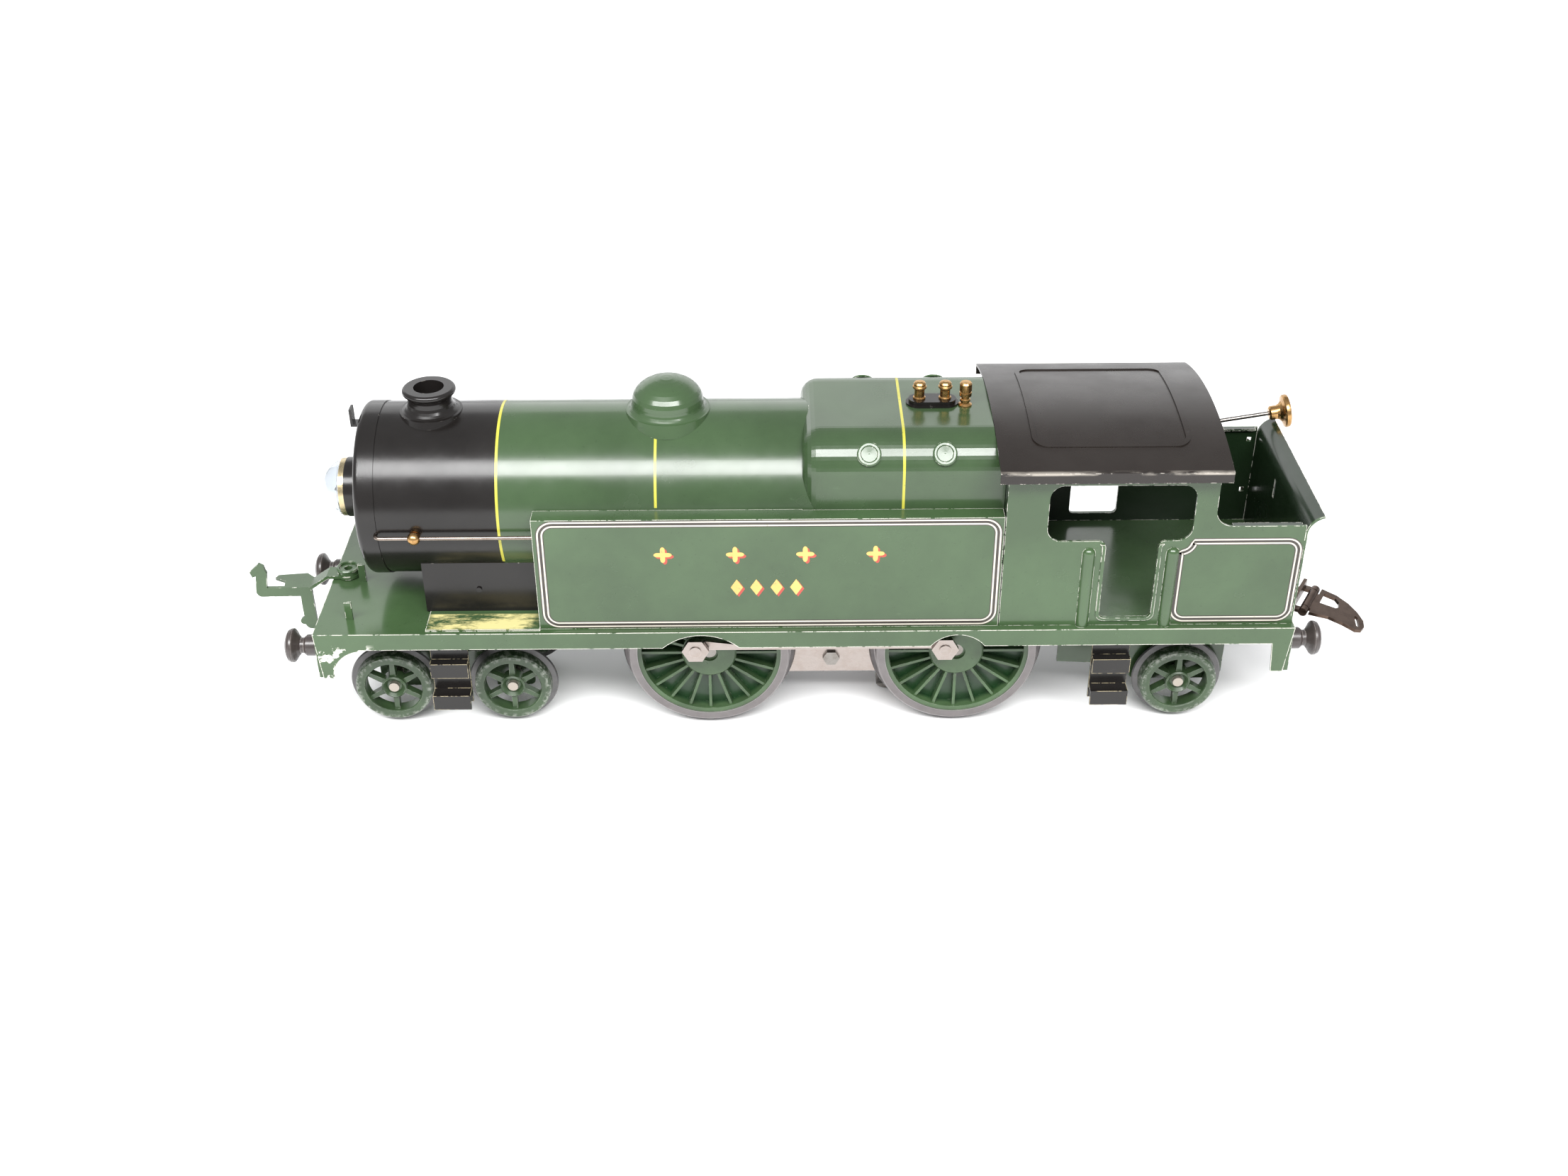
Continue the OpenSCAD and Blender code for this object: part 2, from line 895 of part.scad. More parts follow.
// Motor side plate with its bearings
module motor_plate_outline() {
    difference() {
        polygon([
            [-58, 20], [-51, motor_base], [33, motor_base], [41, 20],
            [41, 50], [35, motor_top], [-52, motor_top], [-58, 50]
        ]);
        for (x = [front_axle_x, rear_axle_x]) {
            translate([x, axle_z]) circle(d = driver_axle_d + 2 * bearing_gap);
        }
        translate([armature_x, armature_z]) circle(d = shaft_d + 2 * bearing_gap);
        for (p = stud_places) translate(p) circle(d = 2.6);
    }
}

module motor_plate_left() {
    color("silver") slab_xz(plate_in, plate_out) motor_plate_outline();
}

module motor_plate_right() {
    color("silver") {
        slab_xz(-plate_out, -plate_in) {
            difference() {
                motor_plate_outline();
                translate([idler_x, idler_z]) circle(d = shaft_d);
            }
        }
    }
}

// Pillars between the plates with hex nuts outside, and the idler's stud
module motor_studs() {
    nut = 5;
    nut_t = 1;
    color("silver") {
        for (p = stud_places) {
            bar_y(-plate_in, plate_in, p[0], p[1], 4);
            bar_y(-plate_out - nut_t, plate_out + nut_t, p[0], p[1], 2.6);
            both_sides() {
                at(p[0], plate_out, p[1]) rotate([-90, 0, 0]) cylinder(h = nut_t, d = nut, $fn = 6);
            }
        }
        bar_y(-plate_out, gear_y[1] + 0.8, idler_x, idler_z, shaft_d);
        bar_y(gear_y[1] + 0.1, gear_y[1] + 0.8, idler_x, idler_z, 3.4);
    }
}

// Laminated field: two pole pieces round the armature, joined by a limb
module field_magnet() {
    color("gray") {
        slab_xz(-stack_half, stack_half) {
            difference() {
                rect([limb_x[0], 21.4], [5, 52]);
                rect([limb_x[1], 26], [-21, 47]);
                translate([armature_x, armature_z]) circle(bore_r);
                rect([armature_x, 32], [6, 40]);
            }
        }
    }
}

module field_coil() {
    wind = 3.4;
    color("firebrick") {
        difference() {
            slab_xy(26.6, 46.4) {
                round_rect(
                    [limb_x[0] - wind, -stack_half - wind],
                    [limb_x[1] + wind, stack_half + wind], 2.5
                );
            }
            block([limb_x[0] - 0.05, -stack_half - 0.05, 20], [limb_x[1] + 0.05, stack_half + 0.05, 54]);
        }
    }
}

// Two brush tubes on an insulating block, facing the commutator
module brush_holders() {
    inner = 4.6;
    outer = 12.5;
    color("goldenrod") {
        for (side = [-1, 1]) {
            from = side < 0 ? armature_x - outer : armature_x + inner;
            bar_x(from, from + outer - inner, brush_y, armature_z, 2.6);
            block(
                [from + 1, brush_y, armature_z - 2.6],
                [from + outer - inner - 1, plate_in, armature_z + 2.6]
            );
        }
    }
}

module pickup_plate() {
    color("saddlebrown") {
        difference() {
            block([shoe_x[0] - 4, -plate_in, pickup_z[0]], [shoe_x[1] + 4, plate_in, pickup_z[1]]);
            for (x = shoe_stems) {
                bar_z(pickup_z[0] - 1, pickup_z[1] + 1, x, 0, 2 + 2 * bearing_gap);
            }
        }
    }
}

// Current collector: a long shoe on two stems that slide in the pickup plate
module collector_shoe() {
    thick = 1.4;
    color("silver") {
        slab_xz(-3, 3) {
            difference() {
                union() {
                    rect([shoe_x[0] + 3, shoe_z], [shoe_x[1] - 3, shoe_z + thick]);
                    for (x = [shoe_x[0] + 3, shoe_x[1] - 3]) translate([x, shoe_z + 3]) circle(3);
                }
                rect([shoe_x[0] - 1, shoe_z + thick], [shoe_x[1] + 1, shoe_z + 8]);
            }
        }
        for (x = shoe_stems) {
            bar_z(shoe_z + thick, pickup_z[1] + 1.2, x, 0, 2);
            bar_z(pickup_z[1] + gap, pickup_z[1] + 1.3, x, 0, 3.6);
        }
    }
}

// Headed studs under the footplate that carry the two trucks and the rear coupling,
// and a hollow rivet on the footplate for the front coupling
module truck_pivots() {
    rear_bar_z = link_z + rear_bar_t;
    head_r = 2.6;
    bore = 2.4;
    color("silver") {
        bar_z(link_z - 1.4, plate_under, rear_pivot_x, 0, rear_pin_d);
        bar_z(link_z - 1.4, link_z - 0.3, rear_pivot_x, 0, 2 * head_r);
        bar_z(rear_bar_z + 0.3, rear_bar_z + 1.2, rear_pivot_x, 0, 2 * head_r);
        at(front_pivot_x, 0, footplate_z) rotate_extrude() {
            translate([bore / 2, 0]) square([(front_pin_d - bore) / 2, 2.5]);
            translate([bore / 2, 2.2]) square([(2 * head_r - bore) / 2 - 0.2, 0.3]);
        }
        for (p = [[bogie_x, 17.2, 20], [pony_pivot_x, 28.2, 30.6]]) {
            head = p[1];
            plate_top = p[2];
            bar_z(head, plate_under, p[0], 0, 4);
            bar_z(head - 1.2, head, p[0], 0, 7);
            bar_z(plate_top + gap, plate_under, p[0], 0, 7);
        }
    }
}

// Driving wheel on its left side: flange, tread, spokes on a web, hub and crankpin hole
module driver(crank) {
    tread = driver_flange_r - flange_depth;
    width = driver_face - wheel_back;
    rim_in = 19.6;
    hub_r = 7.9;
    hub_w = hub_face - wheel_back;
    spoke_w = 0.8;
    web_z = 0.7;
    web_t = 1.2;
    difference() {
        union() {
            rotate_extrude() {
                polygon([
                    [rim_in, 0.4], [tread - 0.6, 0], [driver_flange_r - 0.5, 0], [driver_flange_r, 0.5],
                    [driver_flange_r - 0.4, 1.3], [tread, 1.8], [tread - 0.2, width - 0.4],
                    [tread - 0.6, width], [rim_in + 1.2, width], [rim_in + 1.2, width - 0.4],
                    [rim_in, width - 0.6]
                ]);
            }
            rotate_extrude() {
                polygon([
                    [0, 0.3], [hub_r, 0.3], [hub_r, hub_w - 0.5], [hub_r - 0.5, hub_w],
                    [2.6, hub_w], [2.6, hub_w - 0.8], [0, hub_w - 0.8]
                ]);
            }
            translate([0, 0, web_z]) cylinder(h = web_t, r = rim_in + 0.3);
            for (k = [0 : driver_spokes - 1]) {
                rotate(k * 360 / driver_spokes) translate([hub_r - 0.3, -spoke_w / 2, web_z + web_t / 2]) {
                    cube([rim_in - hub_r + 0.6, spoke_w, hub_w - web_z - web_t]);
                }
            }
        }
        translate([0, 0, -1]) cylinder(h = width + 2, d = driver_axle_d);
        rotate(crank) translate([crank_throw, 0, 2]) cylinder(h = width, d = crank_d);
    }
}

// Puts a wheel's axis across the engine, with angles from forward toward up
module across(x, z, side) {
    at(x, side * wheel_back, z) rotate([side > 0 ? -90 : 90, 0, 0]) children();
}

module driving_wheel(x, side) {
    crank = side > 0 ? -left_crank : right_crank;
    color("darkgreen") across(x, axle_z, side) driver(crank);
}

module driving_axle(x) {
    color("silver") bar_y(-hub_face + 0.9, hub_face - 0.9, x, axle_z, driver_axle_d);
}

// Shoulder screw through the rod: pin, collar, washer and hex head
module crankpin() {
    washer_z = rod_out - hub_face + 0.1;
    translate([0, 0, 2 - hub_face + wheel_back]) cylinder(h = washer_z + 3.5, d = crank_d);
    cylinder(h = rod_in - hub_face - 0.1, d = 3.8);
    translate([0, 0, washer_z]) cylinder(h = 0.3, d = 5.4);
    translate([0, 0, washer_z + 0.3]) cylinder(h = 1.7, d = 7.8, $fn = 6);
    translate([0, 0, washer_z + 2]) cylinder(h = 0.4, d = 3.4);
}

// The pin's place at its crank angle, on either side of an axle
module at_crank(axle_x, side, y) {
    angle = side > 0 ? left_crank : right_crank;
    x = axle_x + crank_throw * cos(angle);
    z = axle_z + crank_throw * sin(angle);
    at(x, side * y, z) rotate([side > 0 ? -90 : 90, 0, 0]) children();
}

module crankpins(axle_x) {
    color("silver") {
        for (side = [-1, 1]) at_crank(axle_x, side, hub_face) crankpin();
    }
}

module front_driving_axle() {
    driving_axle(front_axle_x);
}

module front_driving_wheel_left() {
    driving_wheel(front_axle_x, 1);
}

module front_driving_wheel_right() {
    driving_wheel(front_axle_x, -1);
}

module front_crankpins() {
    crankpins(front_axle_x);
}

module rear_driving_axle() {
    driving_axle(rear_axle_x);
}

module rear_driving_wheel_left() {
    driving_wheel(rear_axle_x, 1);
}

module rear_driving_wheel_right() {
    driving_wheel(rear_axle_x, -1);
}

module rear_crankpins() {
    crankpins(rear_axle_x);
}

// Coupling rod: slim bar that tapers from an eye at each end
module coupling_rod(side) {
    angle = side > 0 ? left_crank : right_crank;
    lift = crank_throw * [cos(angle), sin(angle)];
    eyes = [for (x = [rear_axle_x, front_axle_x]) [x, axle_z] + lift];
    y0 = side > 0 ? rod_in : -rod_out;
    taper = 13;
    color("silver") {
        slab_xz(y0, y0 + rod_out - rod_in) {
            difference() {
                union() {
                    for (p = eyes) translate(p) circle(d = 5.6);
                    translate(eyes[0]) polygon([
                        [1.5, -0.8], [wheelbase - 1.5, -0.8], [wheelbase - 1.5, 2.3],
                        [wheelbase - taper, 0.8], [taper, 0.8], [1.5, 2.3]
                    ]);
                }
                for (p = eyes) translate(p) circle(d = crank_d + 2 * bearing_gap);
            }
        }
    }
}

module coupling_rod_left() {
    coupling_rod(1);
}

module coupling_rod_right() {
    coupling_rod(-1);
}

// Involute gear outline with a tooth centred on the x axis
function involute_turn(r, base) = let (c = base / r) tan(acos(c)) * 180 / PI - acos(c);

module gear_outline(teeth) {
    pitch_r = gear_module * teeth / 2;
    base = pitch_r * cos(pressure);
    tip = pitch_r + addendum * gear_module;
    root = pitch_r - dedendum * gear_module;
    low = max(base, root);
    half = 90 / teeth - backlash / 2 / pitch_r * 180 / PI + involute_turn(pitch_r, base);
    steps = 4;
    polygon([
        for (k = [0 : teeth - 1]) let (a = k * 360 / teeth)
        each [
            root * [cos(a - half - 0.1), sin(a - half - 0.1)],
            for (i = [0 : steps])
            let (r = low + (tip - low) * i / steps, t = a - half + involute_turn(r, base))
            r * [cos(t), sin(t)],
            for (i = [steps : -1 : 0])
            let (r = low + (tip - low) * i / steps, t = a + half - involute_turn(r, base))
            r * [cos(t), sin(t)],
            root * [cos(a + half + 0.1), sin(a + half + 0.1)]
        ]
    ]);
}

module gear(x, z, teeth, phase, bore) {
    slab_xz(gear_y[0], gear_y[1]) {
        translate([x, z]) difference() {
            rotate(phase) gear_outline(teeth);
            circle(d = bore);
        }
    }
}

module drive_gear() {
    color("goldenrod") gear(front_axle_x, axle_z, axle_teeth, idler_angle, driver_axle_d);
}

module idler_gear() {
    color("goldenrod") gear(idler_x, idler_z, idler_teeth, idler_phase, shaft_d + 2 * bearing_gap);
}

// Three-pole armature on its shaft, with commutator and pinion
module armature() {
    core_r = bore_r - 0.7;
    color("brown") {
        difference() {
            bar_y(-stack_half, stack_half, armature_x, armature_z, 2 * core_r);
            for (k = [0 : 2]) {
                at(armature_x, 0, armature_z) rotate([0, 60 + k * 120, 0]) {
                    translate([3.4, -stack_half - 1, -1.6]) cube([core_r, 2 * stack_half + 2, 3.2]);
                }
            }
        }
        bar_y(-plate_out + 0.2, plate_out - 0.2, armature_x, armature_z, shaft_d);
        bar_y(stack_half, 10.7, armature_x, armature_z, 8);
        gear(armature_x, armature_z, pinion_teeth, pinion_phase, shaft_d / 2);
    }
}

// Spoked casting of the bogie and pony wheels, from its back face outward
module small_wheel(face) {
    tread = small_flange_r - flange_depth;
    width = face - wheel_back;
    rim_in = 8.3;
    hub_r = 3.6;
    rotate_extrude() {
        polygon([
            [rim_in, 0.3], [tread - 0.5, 0], [small_flange_r - 0.4, 0], [small_flange_r, 0.5],
            [small_flange_r - 0.3, 1], [tread, 1.5], [tread - 0.25, width - 0.5],
            [tread - 0.75, width], [rim_in + 0.2, width], [rim_in, width - 0.3]
        ]);
    }
    rotate_extrude() {
        polygon([
            [small_axle_d / 2, 0.2], [hub_r, 0.2], [hub_r, width - 0.5], [hub_r - 0.4, width - 0.2],
            [small_axle_d / 2 + 0.6, width - 1.6], [small_axle_d / 2, width - 1.6]
        ]);
    }
    for (k = [0 : small_spokes - 1]) {
        rotate(k * 360 / small_spokes + 30) translate([hub_r - 0.3, 0, 1]) {
            linear_extrude(width - 2.2) polygon([[0, -0.85], [5.2, -0.65], [5.2, 0.65], [0, 0.85]]);
        }
    }
}

module wheelset(x, face) {
    color("darkgreen") {
        for (side = [-1, 1]) across(x, small_z, side) small_wheel(face);
        bar_y(-face + 0.4, face - 0.4, x, small_z, small_axle_d);
    }
}

module bogie_front_wheelset() {
    wheelset(bogie_axles[0], 18.5);
}

module bogie_rear_wheelset() {
    wheelset(bogie_axles[1], 18.5);
}

module pony_wheelset() {
    wheelset(pony_x, 18.9);
}

// Bogie frame: a bridge on the pivot, with cheeks that carry the axles
module bogie_frame() {
    half = 9.6;
    ends = [bogie_axles[1] - 5.4, bogie_axles[0] + 5.4];
    top = 20;
    color("darkgreen") {
        difference() {
            block([ends[0], -half, top - 1], [ends[1], half, top]);
            bar_z(top - 2, top + 1, bogie_x, 0, 4 + 2 * bearing_gap);
        }
        difference() {
            both_sides() slab_xz(half - 1, half) {
                difference() {
                    round_rect([ends[0], 7.8], [ends[1], top], 1.5);
                    link([bogie_axles[1] + 10, 8], [bogie_axles[0] - 10, 8], 8);
                    for (x = bogie_axles) translate([x, small_z]) circle(d = small_axle_d + 2 * bearing_gap);
                }
            }
        }
    }
}

// Pony truck frame: arm on the pivot, with cheeks behind it for the axle
module pony_frame() {
    half = 12.8;
    top = 30.6;
    front = -75;
    rear = -124;
    color("darkgreen") {
        difference() {
            slab_xy(top - 1, top) {
                rect([rear, -half], [front - 6, half]);
                link([pony_pivot_x, 0], [front - 8, 0], 8);
            }
            bar_z(top - 2, top + 1, pony_pivot_x, 0, 4 + 2 * bearing_gap);
        }
        both_sides() slab_xz(half - 0.8, half) {
            difference() {
                polygon([
                    [front, 17], [front, 26], [front - 6, top], [rear, top], [rear, 13],
                    [rear + 3, 10.6], [-98, 10.6], [-92, 16]
                ]);
                translate([pony_x, small_z]) circle(d = small_axle_d + 2 * bearing_gap);
            }
        }
    }
}

// Front coupling: eyelet and drawbar, then an upright plate with hook and leg
module front_coupling() {
    bar_top = front_bar_top;
    bar_t = front_bar_t;
    wing_z = 37.4;
    hook_t = 1.1;
    hook_foot = 35.2;
    color("darkgreen") {
        difference() {
            union() {
                at(front_pivot_x, 0, bar_top - bar_t) cylinder(h = bar_t, r = 3.4);
                at(front_pivot_x, 0, bar_top - 0.1) rotate_extrude() {
                    polygon([
                        [2.5, 0], [3.1, 0], [3.1, 1.2], [3.35, 1.5], [3.3, 1.8], [3.1, 2],
                        [2.75, 2], [2.5, 1.8]
                    ]);
                }
                block([front_pivot_x, -2.6, bar_top - bar_t], [plate_end + 1.8, 2.6, bar_top]);
            }
            bar_z(footplate_z - 1, bar_top + 2, front_pivot_x, 0, front_pin_d + 0.1);
        }
        slab_xz(-2.6, 2.6) {
            link([plate_end + 1.6, bar_top - bar_t / 2], [144.6, wing_z + bar_t / 2], bar_t);
        }
        slab_xy(wing_z, wing_z + bar_t) {
            polygon([
                [144, -2.6], [147, -5.4], [155.4, -4.4], [156, -2.9],
                [152.6, -1], [152.2, 2.6], [144, 2.6]
            ]);
        }
        slab_xz(1.5, 1.5 + hook_t) {
            link([146, hook_foot + 1.6], [159, hook_foot + 1.4], 3);
            link([159, hook_foot + 1.6], [158.2, 43], 3.2);
            polygon([[156.8, 43.4], [160.9, 41.8], [161.6, 43.6], [158.6, 46.4], [157.2, 45.6]]);
            link([146, hook_foot + 1.2], [146, 25.6], 3.6);
            translate([148, 26.4]) circle(1.1);
            translate([144.2, 24.6]) circle(1.7);
        }
    }
}

// Places its children on the rear coupling's own axis, which points rearward
module rear_axis() {
    at(rear_pivot_x, 0, link_z) rotate([0, 0, 180 + rear_swing]) children();
}

// Rear coupling: drawbar with an upturned flange and a knuckle at each side
module rear_coupling() {
    bar_w = 11;
    bar_t = rear_bar_t;
    color("saddlebrown") {
        rear_axis() {
            difference() {
                translate([-3.5, -bar_w / 2, 0]) cube([flange_x + 3.5, bar_w, bar_t]);
                translate([0, 0, -1]) cylinder(h = 3, d = rear_pin_d + 0.1);
            }
            translate([flange_x - bar_t, -lug_half, 0]) cube([bar_t, 2 * lug_half, 3.2]);
            for (side = [-1, 1]) {
                translate([0, side * (lug_half + lug_in) / 2, 0]) {
                    knuckle_y((lug_half - lug_in) / 2, barrel_d);
                    translate([flange_x - 0.5, -(lug_half - lug_in) / 2, 0]) {
                        cube([hook_x - flange_x + 0.5, lug_half - lug_in, bar_t]);
                    }
                }
            }
            knuckle_y(lug_half, pin_d);
        }
    }
}

module knuckle_y(half, d) {
    translate([hook_x, half, 0.5]) rotate([90, 0, 0]) cylinder(h = 2 * half, d = d);
}

// Places its children on the link's hinge, drooping behind the knuckles
module link_axis() {
    rear_axis() translate([hook_x, 0, 0.5]) rotate([0, link_droop, 0]) children();
}

// Rear link: rolled barrel and a hooked plate with a window and a slot
module link_plate() {
    difference() {
        polygon([
            [0.7, -6.4], [6.2, -4.6], [10.6, -4.8], [14.5, -5.6], [16, -4.6], [16.3, -2.6],
            [15.33, 0.2], [12.7, 3.2], [9.2, 5.8], [5.3, 7.4], [0.7, 7.7]
        ]);
        polygon([[2, 0.4], [6.8, 0.9], [7.5, 2], [6.8, 4.4], [5.3, 5.8], [2, 5.9]]);
        polygon([[13.3, 0.8], [15, -3.2], [14.8, -3.8], [14.2, -3.5], [12.5, 0.4], [12.7, 1]]);
    }
}

module rear_link() {
    plate_t = 1;
    color("saddlebrown") {
        link_axis() {
            difference() {
                union() {
                    rotate([90, 0, 0]) translate([0, 0, -lug_in + gap]) {
                        cylinder(h = 2 * (lug_in - gap), d = barrel_d);
                    }
                    translate([0.95, 0, -plate_t / 2]) linear_extrude(plate_t) {
                        rect([0, -lug_in + 2 * gap], [1.4, lug_in - 2 * gap]);
                        link_plate();
                    }
                }
                rotate([90, 0, 0]) translate([0, 0, -lug_half]) {
                    cylinder(h = 2 * lug_half, d = pin_d + 2 * bearing_gap);
                }
            }
        }
    }
}

// The rod's axis, from its rear end toward the front and down
module reversing_axis() {
    at(rod_end[0], rod_end[1], rod_end[2]) rotate([0, 90 + rod_slope, 0]) children();
}

// Reversing rod with its turned brass knob
module reversing_rod() {
    color("goldenrod") {
        reversing_axis() {
            cylinder(h = rod_length, d = rod_d);
            translate([0, 0, -2.8]) rotate_extrude() {
                polygon([
                    [0, 0], [4.3, 0], [4.8, 0.3], [4.9, 0.7], [4.9, 1.4], [4.6, 1.8],
                    [3.2, 2.2], [2.4, 2.9], [2.1, 3.6], [2.1, 5.4], [1.6, 5.9], [0, 5.9]
                ]);
            }
        }
    }
}

footplate();
front_buffer_beam();
rear_buffer_beam();
buffers();
smokebox();
smokebox_front();
lamp_socket();
lamp_bulb();
lamp_irons();
boiler();
chimney();
dome();
firebox();
washout_plugs();
safety_valve_base();
safety_valves();
whistle();
side_tank_left();
side_tank_right();
cab_front();
cab_side_left();
cab_side_right();
bunker_rear();
cab_roof();
saddle();
handrails();
handrail_knobs();
front_steps();
rear_steps();
motor_plate_left();
motor_plate_right();
motor_studs();
field_magnet();
field_coil();
brush_holders();
pickup_plate();
truck_pivots();
front_driving_axle();
front_driving_wheel_left();
front_driving_wheel_right();
front_crankpins();
drive_gear();
rear_driving_axle();
rear_driving_wheel_left();
rear_driving_wheel_right();
rear_crankpins();
coupling_rod_left();
coupling_rod_right();
armature();
idler_gear();
collector_shoe();
bogie_frame();
bogie_front_wheelset();
bogie_rear_wheelset();
pony_frame();
pony_wheelset();
front_coupling();
rear_coupling();
rear_link();
reversing_rod();
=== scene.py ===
import math

import bpy
from mathutils import Matrix, Vector


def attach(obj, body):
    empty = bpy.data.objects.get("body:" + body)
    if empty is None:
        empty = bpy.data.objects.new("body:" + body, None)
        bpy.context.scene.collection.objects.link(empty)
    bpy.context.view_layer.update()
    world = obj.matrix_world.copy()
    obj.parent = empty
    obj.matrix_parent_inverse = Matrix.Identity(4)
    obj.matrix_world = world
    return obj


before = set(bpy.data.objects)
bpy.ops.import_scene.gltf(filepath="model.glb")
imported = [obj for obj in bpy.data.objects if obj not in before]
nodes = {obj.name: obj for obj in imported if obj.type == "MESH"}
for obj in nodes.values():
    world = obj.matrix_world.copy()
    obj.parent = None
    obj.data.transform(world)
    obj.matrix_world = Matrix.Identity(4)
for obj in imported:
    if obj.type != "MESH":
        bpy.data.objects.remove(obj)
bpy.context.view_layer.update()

# The CAD's own numbers, in millimetres of the engine: half widths from the middle plane,
# radii, heights above the flanges' bottoms, and each axle as (x, z). WALL_INSIDE is just past
# the inner faces of the cab and bunker sides.
SHIFT = 0.39
BODY_HALF = 29.1
WALL_INSIDE = 28.6
BOILER_R, BOILER_Z = 24.3, 70.7
FIREBOX_HALF, SHOULDER_R, FIREBOX_TOP = 24.1, 10.5, 96
TANK_TOP = 76.1
LAMP_SOCKET_X, FILAMENT_X = 125.2, 132.6
DRIVERS = {"front": (27.3, 25.2), "rear": (-44.4, 25.2)}
SMALL_WHEELS = {
    "bogie_front_wheelset": (120.3, 13.05),
    "bogie_rear_wheelset": (85.35, 13.05),
    "pony_wheelset": (-110.3, 13.05),
}
SIDES = ((1, "left"), (-1, "right"))

# Where the finish of a wheel changes, in millimetres from its axle
HUB_R, TYRE_R, FLANGE_R = 8.0, 20.8, 23.8
AXLE_END_R, SMALL_RIM_R, SMALL_TREAD_R = 1.525, 9.9, 11.4


def metres(x, y, z):
    return Vector((x + SHIFT, y, z)) / 1000


# Materials -------------------------------------------------------------------


class Paint:
    """One procedural material. Coordinates are the row frame's at rest."""

    def __init__(self, name, **sockets):
        self.mat = bpy.data.materials.new(name)
        self.mat.use_nodes = True
        self.tree = self.mat.node_tree
        self.tree.nodes.clear()
        self.shader = self.node("ShaderNodeBsdfPrincipled")
        out = self.node("ShaderNodeOutputMaterial")
        self.tree.links.new(self.shader.outputs[0], out.inputs[0])
        self.place = self.node("ShaderNodeTexCoord").outputs["Object"]
        for key, value in sockets.items():
            self.set(key.replace("_", " "), value)

    def node(self, kind, **props):
        n = self.tree.nodes.new(kind)
        for key, value in props.items():
            setattr(n, key, value)
        return n

    def feed(self, socket, value):
        if isinstance(value, bpy.types.NodeSocket):
            self.tree.links.new(value, socket)
        elif isinstance(value, (tuple, list)) and len(value) == 3 and socket.type == "RGBA":
            socket.default_value = (*value, 1)
        else:
            socket.default_value = value

    def set(self, name, value):
        self.feed(self.shader.inputs[name], value)

    def math(self, operation, a, b=0.0):
        n = self.node("ShaderNodeMath", operation=operation)
        self.feed(n.inputs[0], a)
        self.feed(n.inputs[1], b)
        return n.outputs[0]

    def noise(self, size_mm, detail=4, rough=0.6, stretch=(1, 1, 1)):
        """Noise whose features are about size_mm across, from 0 to 1."""
        at = self.node("ShaderNodeMapping")
        self.feed(at.inputs["Vector"], self.place)
        self.feed(at.inputs["Scale"], Vector([1000 / size_mm / s for s in stretch]))
        n = self.node("ShaderNodeTexNoise")
        self.feed(n.inputs["Vector"], at.outputs[0])
        self.feed(n.inputs["Scale"], 1.0)
        self.feed(n.inputs["Detail"], detail)
        self.feed(n.inputs["Roughness"], rough)
        return n.outputs["Fac"]

    def span(self, value, low, high, to_low=0.0, to_high=1.0):
        n = self.node("ShaderNodeMapRange", clamp=True)
        for socket, v in zip(n.inputs, (value, low, high, to_low, to_high)):
            self.feed(socket, v)
        return n.outputs[0]

    def past(self, value, place, soft, before=0.0, after=1.0):
        """Turns from one number to the other where the value passes a place."""
        return self.span(value, place - soft, place + soft, before, after)

    def mix(self, share, a, b):
        n = self.node("ShaderNodeMix", data_type="RGBA")
        self.feed(n.inputs["Factor"], share)
        self.feed(n.inputs[6], a)
        self.feed(n.inputs[7], b)
        return n.outputs[2]

    def edge(self, radius_mm):
        """1 on sharp edges, 0 on open surfaces."""
        bevel = self.node("ShaderNodeBevel", samples=6)
        self.feed(bevel.inputs["Radius"], radius_mm / 1000)
        normal = self.node("ShaderNodeNewGeometry").outputs["Normal"]
        dot = self.node("ShaderNodeVectorMath", operation="DOT_PRODUCT")
        self.feed(dot.inputs[0], bevel.outputs[0])
        self.feed(dot.inputs[1], normal)
        return self.span(dot.outputs["Value"], 0.98, 0.84)

    def axes(self):
        n = self.node("ShaderNodeSeparateXYZ")
        self.feed(n.inputs[0], self.place)
        return n.outputs

    def inside(self, axis, low_mm, high_mm, soft_mm=0.3):
        """1 between two places along an axis, in millimetres of the row frame."""
        v = self.math("MULTIPLY", self.axes()[axis], 1000.0)
        up = self.past(v, low_mm, soft_mm)
        down = self.past(v, high_mm, soft_mm, 1.0, 0.0)
        return self.math("MULTIPLY", up, down)

    def radius(self, x, z):
        """Distance from an axle, in millimetres."""
        axes = self.axes()
        dx = self.math("SUBTRACT", axes[0], (x + SHIFT) / 1000)
        dz = self.math("SUBTRACT", axes[2], z / 1000)
        dx2 = self.math("MULTIPLY", dx, dx)
        dz2 = self.math("MULTIPLY", dz, dz)
        return self.math("MULTIPLY", self.math("SQRT", self.math("ADD", dx2, dz2)), 1000.0)

    def bump(self, height, strength):
        n = self.node("ShaderNodeBump")
        self.feed(n.inputs["Height"], height)
        self.feed(n.inputs["Strength"], strength)
        self.feed(n.inputs["Distance"], 0.05 / 1000)
        self.set("Normal", n.outputs["Normal"])

    def orange_peel(self, strength=0.12):
        self.bump(self.noise(1.6, 3), strength)

    def clouded(self, colour, amount=0.16, size_mm=38):
        """The colour, a little lighter and darker in soft clouds and fine specks."""
        light = tuple(min(1, c * (1 + amount) + 0.002) for c in colour)
        dark = tuple(c * (1 - amount) for c in colour)
        soft = self.mix(self.span(self.noise(size_mm, 5), 0.35, 0.65), dark, light)
        speck = self.span(self.noise(0.9, 2), 0.66, 0.74, 0.0, 0.35)
        return self.mix(speck, soft, tuple(c * 0.55 for c in colour))


CHIP = (0.78, 0.75, 0.68)


